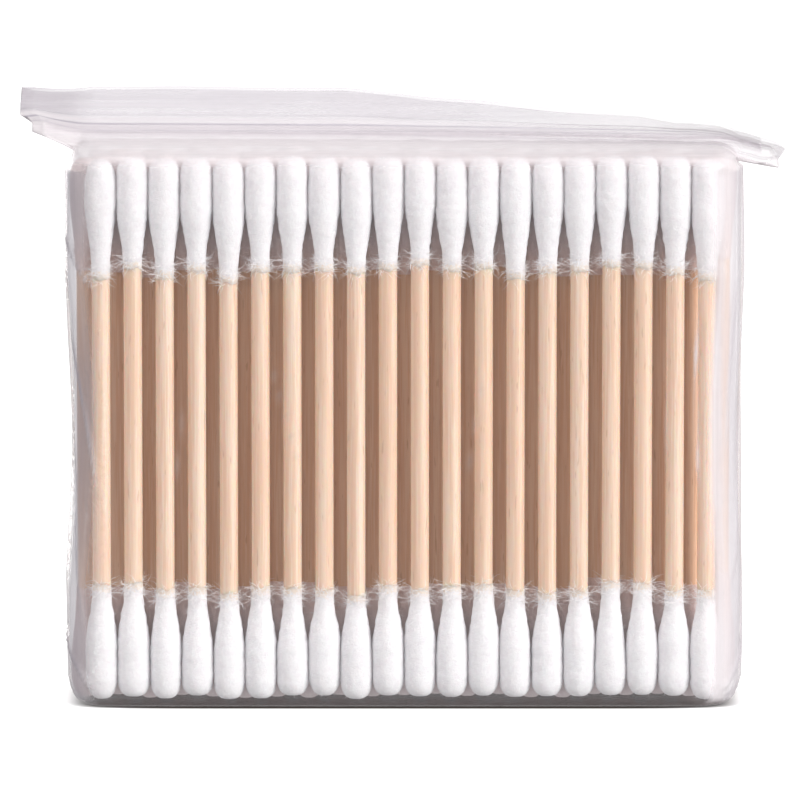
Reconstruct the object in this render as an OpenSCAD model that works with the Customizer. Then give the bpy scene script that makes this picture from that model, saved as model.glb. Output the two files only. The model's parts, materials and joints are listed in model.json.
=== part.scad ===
// Press-seal film bag holding a block of wooden cotton swabs that stand on end.
// Millimetres. X runs across the pack, Y from its front to its back, Z up.
// The origin is the middle of the flat underside. The front of the pack faces -Y.

/* [Swab] */
// Length of one swab from tip to tip
swab_length = 75; // [68:0.5:80]
// Diameter of the birch stick
stick_d = 2.5; // [2:0.1:2.8]
// Largest diameter of a cotton bud
bud_d = 4.32; // [4:0.02:5.2]
// Length of a cotton bud along the stick
bud_length = 16.5; // [14.5:0.5:19]
// Cotton beyond the end of the stick
tip_cover = 2.2; // [1.6:0.1:3]
// Thickness of the cotton where it ends on the stick
neck_wall = 0.13; // [0.08:0.01:0.25]
// How much shorter the shortest bud is than the longest
bud_length_spread = 1.4; // [0:0.1:2]

/* [Block of swabs] */
// Number of swabs side by side in one row
swabs_across = 20; // [12:1:24]
// Number of rows from the front to the back
swab_rows = 5; // [3:1:6]
// Gap between neighbouring buds
bud_gap = 0.06; // [0.03:0.01:0.2]
// How much higher the highest swab stands than the lowest
lift_spread = 0.6; // [0:0.1:1]

/* [Film bag] */
// Thickness of the film
film_t = 0.1; // [0.06:0.01:0.16]
// Gap between the film and the buds beside it
fill_gap = 0.3; // [0.2:0.05:0.6]
// Gap between the bottom film and the lowest swab
seat_gap = 0.3; // [0.2:0.05:0.5]
// Gap between the rounded upright corners and the corner buds
corner_gap = 0.15; // [0.1:0.01:0.2]
// How far the film is drawn in where it spans the bare sticks
waist = 0.6; // [0:0.05:0.8]
// Width of the weld that joins the two panels at each side
side_weld = 1.8; // [1.3:0.1:2.3]
// How far the weld stands out of the filled bag's sides
weld_bead = 0.45; // [0.2:0.05:0.8]
// Height of the seal's neck over the highest swab
neck_rise = 1.1; // [0.9:0.1:4]
// Radius of the bend where the flap is laid back
fold_r = 1.1; // [1.1:0.1:3]
// How far the flap stands in front of the middle of the pack
flap_forward = 2.4; // [0:0.1:3]

/* [Press seal] */
// Height of the seal's two tapes
tape_h = 4; // [4:0.1:7]
// Distance between the two films at the closed seal
seal_t = 1.3; // [1.2:0.05:1.6]
// Thickness of a tape's web
web_t = 0.2; // [0.15:0.01:0.25]
// Thickness of a jaw of the channel
jaw_t = 0.3; // [0.2:0.02:0.4]
// Width of the channel inside its jaws
channel_w = 1.4; // [1.3:0.05:1.8]
// How far each jaw's barb reaches into the channel
barb = 0.3; // [0.2:0.02:0.32]
// Thickness of the rib's stem
stem_t = 0.4; // [0.3:0.02:0.5]
// Width of the rib's head
head_w = 1.1; // [1:0.02:1.14]
// Running gap between the rib and the channel
seal_gap = 0.07; // [0.04:0.01:0.1]
// Thickness of the bond between a tape and the film
bond_t = 0.02; // [0.01:0.01:0.04]

/* [Open lip] */
// Height of the two loose lips over the seal
lip_h = 6.8; // [3:0.1:12]
// Gap between the two lips
lip_gap = 0.3; // [0.15:0.05:0.8]
// Lean of the flap to the back on its left half, from upright
lean_left = 60; // [40:1:70]
// Lean of the flap to the back at its right end, from upright
lean_right = 84; // [60:1:90]
// Rise of the flap's left end
left_rise = 1.9; // [0:0.1:3]
// Fall of the flap from its left end to its right end
flap_fall = 0.7; // [0:0.1:1]
// Droop of the flap's right end, beyond the swabs
right_droop = 2.8; // [0:0.1:4]

/* [Hidden] */
// Node to draw, or all of them

// Birch, cotton and clear film as the eye sees them
stick_colour = "#EBCDAE";
cotton_colour = "#F6F4F7";
film_colour = "#E6E4E8";
tape_colour = "#DAD6DE";
film_alpha = 0.35;

// Smoothness of turned pieces and of the swept film
turn_fn = 48;
panel_steps = 36;
end_crowding = 0.6;

// Places of the swabs
pitch = bud_d + bud_gap;
row_step = pitch * sin(60);
lowest_tip = film_t + seat_gap;
highest_tip = lowest_tip + lift_spread + swab_length;
block_half_w = (swabs_across - 1) / 2 * pitch + pitch / 2 + bud_d / 2;
block_half_d = (swab_rows - 1) / 2 * row_step + bud_d / 2;

// Bud profile: a blunt tip, a belly, a long taper and a neck that lies on the stick
tip_run = 4;
tip_power = 2.7;
belly_end = 5.2;
neck_run = 2.5;
neck_flare = 0.14;
tip_steps = 6;
taper_steps = 6;

// Filled bag
body_half_w = block_half_w + fill_gap + film_t;
body_half_d = block_half_d + fill_gap + film_t;
shoulder_z = highest_tip - tip_run / 2;
neck_z = highest_tip + neck_rise;

// Radius of the upright corners: the largest that leaves the corner gap at the corner bud, which
// stands half a pitch further in where the rows next to it reach out
reach_x = (swab_rows % 2 == 1 ? pitch / 2 : 0) + fill_gap - corner_gap;
reach_y = fill_gap - corner_gap;
corner_r = film_t + reach_x + reach_y + bud_d / 2 + corner_gap + sqrt(2 * reach_x * reach_y);
flat_half_w = body_half_w + body_half_d - (2 - PI / 2) * corner_r;

// Heights and insets where the bottom edge is rounded, from the underside up
foot_z = [0, 0.35, 1.2, 3];
foot_inset = [1.6, 0.75, 0.25, 0];
foot_side_inset = [0.6, 0.5, 0.35, 0.15];
foot_top = 8;
wall_steps = 8;
cap_steps = 6;
fold_steps = 3;

// Pull of the shoulder and of the neck on the film that spans the swabs' tips
shoulder_pull = 3.6;
neck_reach = 0.4;
neck_pull = 0.1;

// Top of the gable that closes each side, from which the ear fans out to the flap's end
gable_in = 1.8;
gable_rise = 1.9;
ear_core = 3;

// How the flap's lean goes from the left value (0) to the right value (1) along its half width
lean_course = [
    [-1, 0.55], [-0.8, 0], [-0.15, 0], [0.07, 0.36], [0.2, 0.46],
    [0.4, 0.65], [0.6, 0.8], [0.7, 0.98], [0.81, 0.78], [1, 1]
];
rise_from = 0.78;
droop_from = 0.8;
end_loss = 0.012;
flap_bow = 0.4;
lip_start = 0.3;
lip_close = 0.5;

// Share of the waist that the left side takes more than the right side
waist_skew = 0.4;

// Largest share of the space between the two panels that the film may take at each of them
liner_share = 0.3;
fold_limit = 0.72;

// Sections of the tapes
web_outer = seal_t / 2 - bond_t;
web_inner = web_outer - web_t;
tape_mid = tape_h / 2;
jaw_low = tape_mid - channel_w / 2 - jaw_t;
jaw_high = tape_mid + channel_w / 2 + jaw_t;
jaw_tip = web_inner - seal_gap;
barb_root = jaw_tip - jaw_t;
head_back = barb_root - seal_gap;
head_nose = seal_gap - web_inner;
nose_w = stem_t;
tape_from = 3;

function clamp(v, low, high) = min(max(v, low), high);
function ease(t) = let(c = clamp(t, 0, 1)) c * c * (3 - 2 * c);
function mix(a, b, t) = a + (b - a) * t;
function two_digits(n) = n < 10 ? str("0", n) : str(n);
function side(k) = k <= panel_steps ? 1 : -1;

// Swab number i of row j, counted from the left and from the front
function row_shift(j) = j % 2 == 0 ? 0 : (j % 4 == 1 ? -pitch / 2 : pitch / 2);
function swab_x(i, j) = (i - (swabs_across - 1) / 2) * pitch + row_shift(j);
function swab_y(j) = (j - (swab_rows - 1) / 2) * row_step;
function pick(i, seed) = rands(0, 1, swabs_across, seed)[i];
function swab_lift(i, j) = lowest_tip + lift_spread * pick(i, 11 + j);
function bud_trim(i, j, end) = bud_length_spread * pick(i, 31 + 7 * j + 3 * end);

// Half outline of a bud, from its tip at height 0 to the end of the cotton
function bud_outline(length) =
    let(
        r = bud_d / 2,
        stick_r = stick_d / 2,
        neck_r = stick_r + neck_wall,
        taper_r = neck_r + neck_flare,
        taper_end = length - neck_run
    )
    concat(
        [for (n = [0:tip_steps])
            let(h = tip_run * pow(n / tip_steps, 2))
            [r * pow(1 - pow(1 - h / tip_run, tip_power), 1 / tip_power), h]],
        [for (n = [0:taper_steps])
            let(t = n / taper_steps)
            [mix(r, taper_r, ease(t)), mix(belly_end, taper_end, t)]],
        [[neck_r, length], [stick_r, length], [stick_r, tip_cover], [0, tip_cover]]
    );

module bud(trim) {
    rotate_extrude($fn = turn_fn)
        polygon(bud_outline(bud_length - trim));
}

module stick(i, j) {
    color(stick_colour)
        translate([swab_x(i, j), swab_y(j), swab_lift(i, j) + tip_cover])
            cylinder(d = stick_d, h = swab_length - 2 * tip_cover, $fn = turn_fn);
}

module pair_of_buds(i, j) {
    color(cotton_colour)
        translate([swab_x(i, j), swab_y(j), swab_lift(i, j)]) {
            bud(bud_trim(i, j, 0));
            translate([0, 0, swab_length])
                rotate([180, 0, 0])
                    bud(bud_trim(i, j, 1));
        }
}

module row_of_sticks(j) {
    for (i = [0:swabs_across - 1])
        stick(i, j);
}

module row_of_buds(j) {
    for (i = [0:swabs_across - 1])
        pair_of_buds(i, j);
}

// The film is a sweep of closed loops. Step k runs from the right weld along the back panel to the
// left weld, and on along the front panel. share(k) is how far across its panel a step lies. The
// first step after a weld lies at the weld's inner edge.
function share(k) =
    let(
        n = k <= panel_steps ? k : 2 * panel_steps - k,
        weld = side_weld / (2 * flat_half_w),
        t = (n - 1) / (panel_steps - 2)
    )
    n == 0 ? 0
        : n == panel_steps ? 1
        : weld + (1 - 2 * weld) * (t - end_crowding * sin(360 * t) / (2 * PI));
function flat_x(k) = flat_half_w * (1 - 2 * share(k));
function at_weld(k) = k % panel_steps == 0;

// Point of the filled bag's rounded section, as x and y, for a panel step
function section_point(k, half_w, half_d, r) =
    let(
        straight = half_d - r,
        arc = PI / 2 * r,
        half = straight + arc + half_w - r,
        s = share(k),
        left = s > 0.5,
        d = 2 * half * (left ? 1 - s : s),
        turn = (d - straight) / arc * 90,
        p = d < straight ? [half_w, d]
            : d < straight + arc ? [half_w - r + r * cos(turn), half_d - r + r * sin(turn)]
            : [half - d, half_d]
    )
    [left ? -p[0] : p[0], side(k) * p[1]];

// How far a step lies into the ear at the flap's end: 1 near the weld, 0 over the block
function ear(k) =
    let(y = abs(section_point(k, body_half_w, body_half_d, corner_r)[1]))
    1 - ease((y - ear_core) / (body_half_d - ear_core));

// Drawing-in of the film between the buds, by height
function waist_at(z) =
    let(
        low = lowest_tip + bud_length,
        high = highest_tip - bud_length,
        t = clamp((z - low) / (high - low), 0, 1)
    )
    waist * sin(180 * t);

// Loop of the filled bag at height z, with its insets
function wall_loop(z, inset, side_inset) =
    let(
        w = waist_at(z),
        half_w = body_half_w - inset - side_inset - w,
        half_d = body_half_d - inset - w
    )
    [for (k = [0:2 * panel_steps - 1])
        let(
            p = section_point(k, half_w, half_d, corner_r - inset),
            bead = at_weld(k) ? sign(p[0]) * weld_bead : 0
        )
        [p[0] + bead + waist_skew * w, p[1], z]];

// Base line of the flap at flat width x: its height over the neck, its place in depth and its lean
function flap_rise(x) =
    let(
        s = x / flat_half_w,
        left = max(0, (-s - rise_from) / (1 - rise_from)),
        right = max(0, (s - droop_from) / (1 - droop_from))
    )
    left_rise * left * left - flap_fall * pow((s + 1) / 2, 2) - right_droop * pow(right, 1.8);
function flap_y(x) = -flap_forward - flap_bow * cos(90 * x / flat_half_w);
function flap_lean(x) = mix(lean_left, lean_right, lookup(x / flat_half_w, lean_course));

// Point of the flap at flat width x: u is the distance behind its middle, v the height up the
// flap and bend the share of the fold that lies under it
function flap_point(x, u, v, bend) =
    let(
        s = x / flat_half_w,
        a = flap_lean(x) * bend,
        y = fold_r * (1 - cos(a)) + v * sin(a) + u * cos(a),
        z = fold_r * sin(a) + v * cos(a) - u * sin(a)
    )
    [x * (1 - end_loss * s * s), flap_y(x) + y, neck_z + flap_rise(x) + z];

// Loop of the flap at height v, with the given gap between its two films
function flap_loop(v, bend, gap) =
    [for (k = [0:2 * panel_steps - 1])
        flap_point(flat_x(k), at_weld(k) ? 0 : side(k) * (gap / 2 + film_t), v, bend)];

// Loop of the cap that closes from the shoulder to the neck: t is 0 at the shoulder, 1 at the neck
function cap_loop(t) =
    let(
        shoulder = wall_loop(shoulder_z, 0, 0),
        neck = flap_loop(0, 0, seal_t)
    )
    [for (k = [0:2 * panel_steps - 1])
        let(
            e = ear(k),
            from = shoulder[k],
            to = neck[k],
            gable = [sign(from[0]) * (body_half_w - gable_in), to[1], shoulder_z + gable_rise],
            a = mix(from + [0, 0, shoulder_pull], gable, e),
            b = mix([to[0], mix(to[1], from[1], neck_reach), to[2] - neck_pull], gable, e)
        )
        pow(1 - t, 3) * from + 3 * t * pow(1 - t, 2) * a + 3 * t * t * (1 - t) * b + pow(t, 3) * to];

film_loops = concat(
    [for (n = [0:3]) wall_loop(foot_z[n], foot_inset[n], foot_side_inset[n])],
    [for (n = [0:wall_steps]) wall_loop(mix(foot_top, shoulder_z, n / wall_steps), 0, 0)],
    [for (n = [1:cap_steps]) cap_loop(n / cap_steps)],
    [for (n = [1:fold_steps]) flap_loop(0, n / fold_steps, seal_t)],
    [
        flap_loop(tape_h + lip_start, 1, seal_t),
        flap_loop(tape_h + lip_start + lip_close, 1, lip_gap),
        flap_loop(tape_h + lip_h / 2, 1, lip_gap),
        flap_loop(tape_h + lip_h, 1, lip_gap)
    ]
);

// Inner skin of the film: each point of the outer loops moved in along the surface normal, by the
// film's thickness or a little more where the film is folded. The two panels stay apart, and the
// skin ends at the inner edge of the weld.
function unit(v) = v / norm(v);
function slope_at(l, k) =
    let(
        p = film_loops[l][k],
        before = l > 0 ? unit(p - film_loops[l - 1][k]) : [0, 0, 0],
        after = l < len(film_loops) - 1 ? unit(film_loops[l + 1][k] - p) : [0, 0, 0]
    )
    l > 0 && l < len(film_loops) - 1 ? (before + after) / 2 : before + after;
function liner_point(l, k) =
    let(
        n = 2 * panel_steps,
        p = film_loops[l][k],
        opposite = film_loops[l][(n - k) % n],
        along = unit(film_loops[l][(k + 1) % n] - p) + unit(p - film_loops[l][(k + n - 1) % n]),
        up = slope_at(l, k),
        normal = unit(cross(along, up)),
        offset = min(film_t / max(norm(up), fold_limit), norm(p - opposite) * liner_share),
        q = p - offset * normal
    )
    l == 0 ? [q[0], q[1], film_t] : q;
function liner_loop(l) =
    let(
        n = 2 * panel_steps,
        loop = [for (k = [0:n - 1]) at_weld(k) ? [0, 0, 0] : liner_point(l, k)]
    )
    [for (k = [0:n - 1]) at_weld(k) ? (loop[k + 1] + loop[(k + n - 1) % n]) / 2 : loop[k]];

module film_bag() {
    n = 2 * panel_steps;
    levels = len(film_loops);
    inner = n * levels;
    foot = 2 * inner;
    top = n * (levels - 1);
    points = concat(
        [for (loop = film_loops) each loop],
        [for (l = [0:levels - 1]) each liner_loop(l)],
        [[0, 0, 0], [0, 0, film_t]]
    );
    faces = concat(
        [for (l = [0:levels - 2]) for (k = [0:n - 1])
            let(a = l * n + k, b = l * n + (k + 1) % n)
            each [[a, a + n, b + n], [a, b + n, b]]],
        [for (l = [0:levels - 2]) for (k = [0:n - 1])
            let(a = inner + l * n + k, b = inner + l * n + (k + 1) % n)
            each [[a, b + n, a + n], [a, b, b + n]]],
        [for (k = [0:n - 1])
            let(a = top + k, b = top + (k + 1) % n)
            each [[inner + a, inner + b, b], [inner + a, b, a]]],
        [for (k = [0:n - 1]) [foot, k, (k + 1) % n]],
        [for (k = [0:n - 1]) [foot + 1, inner + (k + 1) % n, inner + k]]
    );
    color(film_colour, film_alpha)
        polyhedron(points, faces);
}

// Section of the channel tape as u and v, and the convex pieces that fill it
channel_section = [
    [-web_outer, 0], [-web_inner, 0], [-web_inner, jaw_low], [jaw_tip, jaw_low],
    [jaw_tip, jaw_low + jaw_t + barb], [barb_root, jaw_low + jaw_t + barb],
    [barb_root, jaw_low + jaw_t], [-web_inner, jaw_low + jaw_t],
    [-web_inner, jaw_high - jaw_t], [barb_root, jaw_high - jaw_t],
    [barb_root, jaw_high - jaw_t - barb], [jaw_tip, jaw_high - jaw_t - barb],
    [jaw_tip, jaw_high], [-web_inner, jaw_high], [-web_inner, tape_h], [-web_outer, tape_h]
];
channel_pieces = [
    [0, 1, 2, 7, 8, 13, 14, 15], [2, 3, 6, 7], [3, 4, 5, 6], [8, 9, 12, 13], [9, 10, 11, 12]
];

// Section of the rib tape, and the convex pieces that fill it
rib_section = [
    [web_outer, 0], [web_outer, tape_h], [web_inner, tape_h], [web_inner, tape_mid + stem_t / 2],
    [head_back, tape_mid + stem_t / 2], [head_back, tape_mid + head_w / 2],
    [head_nose, tape_mid + nose_w / 2], [head_nose, tape_mid - nose_w / 2],
    [head_back, tape_mid - head_w / 2], [head_back, tape_mid - stem_t / 2],
    [web_inner, tape_mid - stem_t / 2], [web_inner, 0]
];
rib_pieces = [[0, 1, 2, 3, 10, 11], [3, 4, 9, 10], [6, 7, 8, 9, 4, 5]];

function fan(piece) = [for (n = [1:len(piece) - 2]) [piece[0], piece[n], piece[n + 1]]];
function turned(face) = [face[2], face[1], face[0]];

// A tape with the given section, swept along the flap between the two side welds
module tape(section, pieces) {
    n = len(section);
    steps = [for (k = [tape_from:panel_steps - tape_from]) k];
    last = n * (len(steps) - 1);
    points = [for (k = steps) for (p = section) flap_point(flat_x(k), p[0], p[1], 1)];
    triangles = [for (piece = pieces) each fan(piece)];
    faces = concat(
        [for (s = [0:len(steps) - 2]) for (m = [0:n - 1])
            let(a = s * n + m, b = s * n + (m + 1) % n)
            each [[a, b + n, a + n], [a, b, b + n]]],
        [for (t = triangles) turned(t)],
        [for (t = triangles) t + [last, last, last]]
    );
    color(tape_colour, film_alpha)
        polyhedron(points, faces);
}

module channel_tape() {
    tape(channel_section, channel_pieces);
}

module rib_tape() {
    tape(rib_section, rib_pieces);
}

function front_stick(i) = str("front_stick_", two_digits(i + 1));
function front_buds(i) = str("front_buds_", two_digits(i + 1));
function row_sticks(j) = str("row_", j + 1, "_sticks");
function row_buds(j) = str("row_", j + 1, "_buds");

film_bag();
channel_tape();  // seal_channel_tape
rib_tape();  // seal_rib_tape
for (i = [0:swabs_across - 1]) {
    stick(i, 0);
    pair_of_buds(i, 0);
}
for (j = [1:swab_rows - 1]) {
    row_of_sticks(j);
    row_of_buds(j);
}
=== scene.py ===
"""Clear press-seal bag full of wooden cotton swabs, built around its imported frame.

The file is laid out as a Blender add-on. Each piece or group of like pieces has an operator, and
its sizes and colours are properties of the scene. Run as a script, it builds everything in order.
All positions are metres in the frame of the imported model; sizes in the film's own code are
millimetres, as in the part's source.
"""

import json
import math

import bmesh
import bpy
import numpy as np
from bpy.props import FloatProperty, FloatVectorProperty, IntProperty, PointerProperty
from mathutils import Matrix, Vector

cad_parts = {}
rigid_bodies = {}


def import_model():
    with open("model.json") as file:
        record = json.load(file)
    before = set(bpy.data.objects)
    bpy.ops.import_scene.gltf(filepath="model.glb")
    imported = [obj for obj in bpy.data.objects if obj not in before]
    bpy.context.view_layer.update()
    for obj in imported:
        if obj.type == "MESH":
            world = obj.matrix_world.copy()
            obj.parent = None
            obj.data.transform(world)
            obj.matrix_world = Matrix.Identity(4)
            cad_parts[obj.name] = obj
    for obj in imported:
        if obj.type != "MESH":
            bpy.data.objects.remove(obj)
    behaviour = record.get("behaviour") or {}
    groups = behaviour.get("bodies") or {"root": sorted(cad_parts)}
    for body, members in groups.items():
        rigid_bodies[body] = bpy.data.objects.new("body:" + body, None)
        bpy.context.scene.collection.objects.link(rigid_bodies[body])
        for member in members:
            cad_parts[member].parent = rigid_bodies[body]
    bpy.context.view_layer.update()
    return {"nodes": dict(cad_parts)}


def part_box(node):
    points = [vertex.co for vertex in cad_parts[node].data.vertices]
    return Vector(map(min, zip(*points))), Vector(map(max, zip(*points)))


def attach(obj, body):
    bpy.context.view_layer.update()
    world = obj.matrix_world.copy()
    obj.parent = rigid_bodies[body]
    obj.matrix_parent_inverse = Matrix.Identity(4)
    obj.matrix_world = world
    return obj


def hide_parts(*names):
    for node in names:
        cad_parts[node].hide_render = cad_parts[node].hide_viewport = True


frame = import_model()

bl_info = {
    "name": "Cotton Swab Pack",
    "version": (1, 0, 0),
    "blender": (4, 5, 0),
    "location": "View3D > Sidebar > Swab Pack",
    "description": "Dresses a clear press-seal bag of wooden cotton swabs around its packed frame",
    "category": "Object",
}

MM = 0.001
ACROSS = 20
FRONT = [f"{n:02d}" for n in range(1, ACROSS + 1)]
INNER_ROWS = ("row_2", "row_3", "row_4")
BACK_ROW = "row_5"
TAPES = ("seal_channel_tape", "seal_rib_tape")


def middle(node):
    """Middle of a CAD node's box."""
    low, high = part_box(node)
    return (low + high) / 2


# Places of the swabs, in millimetres, from the frame
PITCH = (middle("front_stick_20").x - middle("front_stick_01").x) / (ACROSS - 1) / MM
ROW_STEP = (middle("row_2_sticks").y - middle("front_stick_01").y) / MM
BUD_R = (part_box("front_buds_01")[1].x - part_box("front_buds_01")[0].x) / 2 / MM
STICK_R = (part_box("front_stick_01")[1].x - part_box("front_stick_01")[0].x) / 2 / MM

# The film bag as the part's source sizes it, in millimetres
FILM_T, FILL_GAP, CORNER_GAP, WAIST, WAIST_SKEW = 0.1, 0.3, 0.15, 0.6, 0.4
SIDE_WELD, WELD_BEAD = 1.8, 0.45
SHOULDER_PULL, NECK_REACH, NECK_PULL = 3.6, 0.4, 0.1
GABLE_IN, GABLE_RISE, EAR_CORE = 1.8, 1.9, 3.0
FOLD_R, FLAP_FORWARD, FLAP_BOW, END_LOSS = 1.1, 2.4, 0.4, 0.012
SEAL_T, TAPE_H, LIP_START, LIP_CLOSE, LIP_H, LIP_GAP = 1.3, 4.0, 0.05, 1.5, 6.8, 0.3
LEAN_LEFT, LEAN_RIGHT = 60.0, 84.0
LEFT_RISE, FLAP_FALL, RIGHT_DROOP = 1.9, 0.7, 2.8
RISE_FROM, DROOP_FROM = 0.78, 0.8
LEAN_COURSE = (
    (-1, 0.45), (-0.8, 0), (-0.15, 0), (0.07, 0.36), (0.2, 0.46),
    (0.4, 0.65), (0.6, 0.8), (0.7, 0.98), (0.81, 0.95), (0.93, 1.1), (1, 1.25),
)
# Further sag of the flap's right end: place along the flap and height
RIGHT_SAG = ((0.74, 0), (0.82, -0.35), (0.87, -0.8), (0.93, -0.5), (0.97, 0.2), (1, 0.4))
FOOT = ((0, 1.6, 0.6), (0.35, 0.75, 0.5), (1.2, 0.25, 0.35), (3, 0, 0.15), (8, 0, 0))
BUD_LENGTH, LOWEST_TIP, HIGHEST_TIP, SWAB_MIDDLE = 16.5, 0.4, 76.0, 38.0
SHOULDER_Z, NECK_Z = 74.0, 77.1

# Places across the film, in millimetres from its middle: where its corners start, where the
# front's right and left ones turn milky, and where the flap's ends start to be drawn in
CORNER_FROM, MILKY_RIGHT, MILKY_LEFT, EAR_LEFT, EAR_RIGHT = 38, 42, 43, 39, 46
# What the slant takes off the flap's right end, at the seal and at the lip
RIGHT_SLANT = (1.9, 0.6)
# Heights of the buds' middles, and how far from them the film sinks in between the tips
BUD_MIDDLES, VALLEY_REACH = (8, 68), 9.5

BLOCK_HALF_W = (ACROSS - 1) / 2 * PITCH + PITCH / 2 + BUD_R
BODY_HALF_W = BLOCK_HALF_W + FILL_GAP + FILM_T
BODY_HALF_D = 2 * ROW_STEP + BUD_R + FILL_GAP + FILM_T
REACH_X, REACH_Y = PITCH / 2 + FILL_GAP - CORNER_GAP, FILL_GAP - CORNER_GAP
CORNER_R = FILM_T + REACH_X + REACH_Y + BUD_R + CORNER_GAP + math.sqrt(2 * REACH_X * REACH_Y)
FLAT_HALF_W = BODY_HALF_W + BODY_HALF_D - (2 - math.pi / 2) * CORNER_R

SETTINGS = "swab_pack"

# Suns: name, azimuth, elevation and width in degrees, and colour
SUNS = (
    ("key", 56, 18, 22, (1, 0.985, 0.975)),
    ("left", -38, 22, 60, (1, 0.985, 0.98)),
    ("top", -10, 82, 50, (1, 1, 1)),
    ("back", 205, 12, 40, (1, 0.99, 0.985)),
)
# Strips of light: name, azimuth and elevation in degrees, watts, and width and height in metres
STRIPS = (
    ("right_strip", 66, 16, 2, (0.16, 0.9)),
    ("left_strip", -72, 14, 0.8, (0.1, 0.8)),
)
SUN_DISTANCE, STRIP_DISTANCE, FLOOR_RADIUS = 2, 1.3, 6
LENS, SENSOR, CAMERA_TARGET = 492, 36, (-0.00055, -0.010, 0.04285)


# Shader building


class Value:
    """A number that varies over a surface. An expression on values adds its Math nodes."""

    def __init__(self, finish, socket):
        self.finish, self.socket = finish, socket

    def _math(self, operation, *operands):
        inputs = dict(enumerate(operands))
        return self.finish.value("ShaderNodeMath", {"operation": operation}, inputs)

    def __add__(self, other):
        return self._math("ADD", self, other)

    def __sub__(self, other):
        return self._math("SUBTRACT", self, other)

    def __rsub__(self, other):
        return self._math("SUBTRACT", other, self)

    def __mul__(self, other):
        return self._math("MULTIPLY", self, other)

    def __truediv__(self, other):
        return self._math("DIVIDE", self, other)

    def __pow__(self, other):
        return self._math("POWER", self, other)

    def floor(self):
        return self._math("FLOOR", self)

    def modulo(self, other):
        return self._math("FLOORED_MODULO", self, other)


class Finish:
    """A node material. It hands out values and sockets, and joins them to its shaders."""

    def __init__(self, name):
        self.material = bpy.data.materials.new(name)
        self.material.use_nodes = True
        self.tree = self.material.node_tree
        self.tree.nodes.clear()
        self.out = self.tree.nodes.new("ShaderNodeOutputMaterial")

    def node(self, kind, settings=None, inputs=None):
        """Adds a node: its settings first, then the values or links of its sockets."""
        made = self.tree.nodes.new(kind)
        for key, setting in (settings or {}).items():
            setattr(made, key, setting)
        for key, given in (inputs or {}).items():
            socket = made.inputs[key]
            link = given.socket if isinstance(given, Value) else given
            if isinstance(link, bpy.types.NodeSocket):
                self.tree.links.new(link, socket)
            else:
                socket.default_value = given
        return made

    def value(self, kind, settings=None, inputs=None, output=0):
        """Adds a node and gives one of its outputs as a value."""
        return Value(self, self.node(kind, settings, inputs).outputs[output])

    def place(self):
        """Object coordinates, in metres."""
        return self.node("ShaderNodeTexCoord").outputs["Object"]

    def split(self, vector):
        node = self.node("ShaderNodeSeparateXYZ", None, {0: vector})
        return [Value(self, node.outputs[n]) for n in range(3)]

    def join(self, x, y, z):
        return self.node("ShaderNodeCombineXYZ", None, {0: x, 1: y, 2: z}).outputs[0]

    def stretch(self, vector, scale, shift=None):
        """A vector times a scale for each axis, plus a shift."""
        inputs = {0: vector, 1: scale}
        if shift is not None:
            inputs[2] = shift
        operation = {"operation": "MULTIPLY" if shift is None else "MULTIPLY_ADD"}
        return self.node("ShaderNodeVectorMath", operation, inputs).outputs[0]

    def noise(self, vector, scale, detail=2, roughness=0.5, distortion=0):
        inputs = {"Vector": vector, "Scale": scale, "Detail": detail}
        inputs.update({"Roughness": roughness, "Distortion": distortion})
        return self.value("ShaderNodeTexNoise", None, inputs)

    def ease(self, value, start, end, low=0, high=1):
        """low up to start, high from end on, and a smooth step between them."""
        inputs = {0: value, 1: start, 2: end, 3: low, 4: high}
        return self.value("ShaderNodeMapRange", {"interpolation_type": "SMOOTHSTEP"}, inputs)

    def blend(self, share, first, second, mode="MIX"):
        """Mix of two colours."""
        settings = {"data_type": "RGBA", "blend_type": mode}
        first, second = [(*c, 1) if isinstance(c, tuple) else c for c in (first, second)]
        return self.node("ShaderNodeMix", settings, {0: share, 6: first, 7: second}).outputs[2]

    def attribute(self, name):
        return self.value("ShaderNodeAttribute", {"attribute_name": name}, None, "Fac")

    def bump(self, height, distance, strength, under=None):
        inputs = {"Height": height, "Distance": distance, "Strength": strength}
        if under is not None:
            inputs["Normal"] = under
        return self.node("ShaderNodeBump", None, inputs).outputs[0]

    def surface(self, inputs):
        return self.node("ShaderNodeBsdfPrincipled", None, inputs).outputs[0]

    def mix(self, share, first, second):
        return self.node("ShaderNodeMixShader", None, {0: share, 1: first, 2: second}).outputs[0]

    def finish(self, shader):
        self.tree.links.new(shader, self.out.inputs["Surface"])
        return self.material


# Finishes


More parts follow.
